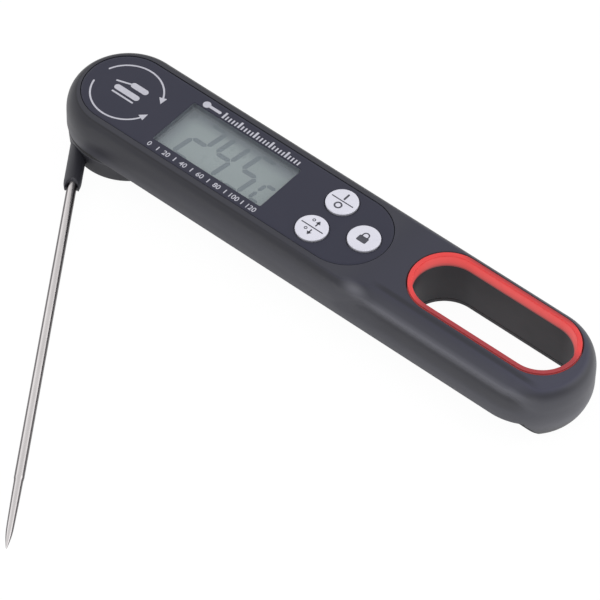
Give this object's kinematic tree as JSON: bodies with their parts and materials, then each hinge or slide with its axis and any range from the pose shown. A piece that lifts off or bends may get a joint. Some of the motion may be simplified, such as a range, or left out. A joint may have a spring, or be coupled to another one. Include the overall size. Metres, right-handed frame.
{
  "type": "folding digital meat thermometer",
  "caption": "Folding pocket thermometer: rounded charcoal handle with display, round keys and a red-lined finger slot, and a stainless probe that swings out on a hub.",
  "frame": {"origin": "on the hub's turning axis, at the flat back of the hub cap, which lies in the plane the thermometer rests on", "axes": "+X along the handle to the tail, +Y to the side away from the probe channel, +Z out of the display face along the hub's axis"},
  "size_m": [0.1547, 0.1305, 0.0176],
  "materials": {
    "housing_plastic": "satin charcoal ABS with a fine moulded texture",
    "faceplate_plastic": "satin dark grey panel with pale print",
    "clear_window": "clear moulded window",
    "display_glass": "grey-green reflective display",
    "key_plastic": "white satin plastic",
    "liner_red": "red satin plastic",
    "hub_plastic": "black satin plastic",
    "stainless_steel": "drawn and polished stainless tube",
    "board_green": "green solder mask",
    "chip_black": "black resin",
    "grey_rubber": "grey silicone",
    "black_rubber": "black nitrile",
    "screw_steel": "plated steel",
    "contact_nickel": "nickel-plated spring steel",
    "cell_steel": "bright nickel-plated can",
    "white_plastic": "natural white plastic",
    "wire_red": "red wire insulation",
    "wire_black": "black wire insulation",
    "sensor_epoxy": "epoxy-coated bead"
  },
  "bodies": {
    "handle": {"main_housing": "housing_plastic", "back_cover": "housing_plastic", "faceplate": "faceplate_plastic", "lcd_window": "clear_window", "lcd_frame": "chip_black", "lcd_glass": "display_glass", "lcd_connector": "grey_rubber", "power_switch": "contact_nickel", "unit_switch": "contact_nickel", "hold_switch": "contact_nickel", "keypad_membrane": "grey_rubber", "circuit_board": "board_green", "controller_chip": "chip_black", "board_screw_1": "screw_steel", "board_screw_2": "screw_steel", "cover_screw_1": "screw_steel", "cover_screw_2": "screw_steel", "cover_screw_3": "screw_steel", "cover_screw_4": "screw_steel", "coin_cell": "cell_steel", "battery_cup": "white_plastic", "positive_contact": "contact_nickel", "negative_contact": "contact_nickel", "slot_liner": "liner_red", "friction_washer": "screw_steel", "hub_seal": "black_rubber", "lead_wire_red": "wire_red", "lead_wire_black": "wire_black"},
    "probe": {"probe_hub": "hub_plastic", "hub_cap": "hub_plastic", "retaining_clip": "screw_steel", "probe_sleeve": "hub_plastic", "probe_tube": "stainless_steel", "temperature_sensor": "sensor_epoxy", "sensor_wire": "wire_red"},
    "power_key": {"power_button": "key_plastic"},
    "unit_key": {"unit_button": "key_plastic"},
    "hold_key": {"hold_button": "key_plastic"},
    "battery_cap": {"battery_door": "housing_plastic", "battery_door_seal": "black_rubber"}
  },
  "joints": [
    {"name": "probe_fold", "type": "hinge", "parent": "handle", "child": "probe", "pos_m": [0, 0, 0.003], "axis": [0, 0, 1], "range_deg": [-124, 56]},
    {"name": "power_press", "type": "slide", "parent": "handle", "child": "power_key", "axis": [0, 0, -1], "range_m": [0, 0.0006], "stiffness_N_per_m": 600, "springref_m": -0.0002},
    {"name": "unit_press", "type": "slide", "parent": "handle", "child": "unit_key", "axis": [0, 0, -1], "range_m": [0, 0.0006], "stiffness_N_per_m": 600, "springref_m": -0.0002},
    {"name": "hold_press", "type": "slide", "parent": "handle", "child": "hold_key", "axis": [0, 0, -1], "range_m": [0, 0.0006], "stiffness_N_per_m": 600, "springref_m": -0.0002},
    {"name": "battery_door_twist", "type": "hinge", "parent": "handle", "child": "battery_cap", "pos_m": [0.064, 0.001, 0.001], "axis": [0, 0, 1], "range_deg": [0, 60]}
  ]
}
